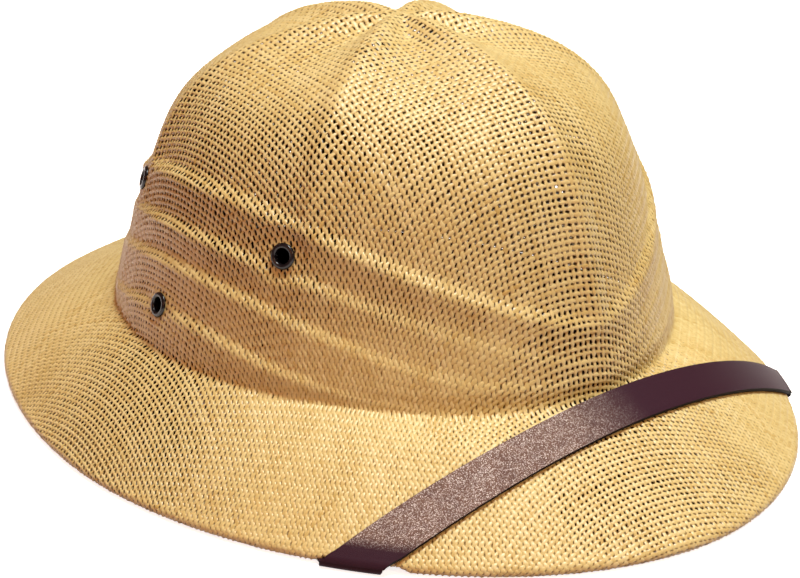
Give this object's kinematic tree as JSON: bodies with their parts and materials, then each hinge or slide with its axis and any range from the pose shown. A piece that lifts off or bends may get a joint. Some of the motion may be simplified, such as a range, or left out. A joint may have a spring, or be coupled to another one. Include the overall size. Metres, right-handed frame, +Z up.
{
  "type": "beekeeping helmet",
  "caption": "Woven straw sun helmet with a ribbed crown, a moulded folded band, a sloping brim, vent eyelets and a chin strap stored over the front brim.",
  "frame": {"origin": "on the floor under the middle of the brim's length and width", "axes": "+Z up, -Y towards the front of the helmet, +X towards the wearer's left"},
  "size_m": [0.2764, 0.34, 0.1418],
  "materials": {
    "straw": "plain woven toyo straw, lightly glossy",
    "black_metal": "gloss black enamel",
    "leather": "smooth dark brown, fine grain"
  },
  "bodies": {
    "root": {"shell": "straw", "eyelet_right_front": "black_metal", "eyelet_right_rear": "black_metal", "eyelet_right_low": "black_metal", "eyelet_left_front": "black_metal", "eyelet_left_rear": "black_metal", "eyelet_left_low": "black_metal", "strap": "leather", "strap_post_right": "black_metal", "strap_post_left": "black_metal"}
  },
  "joints": []
}
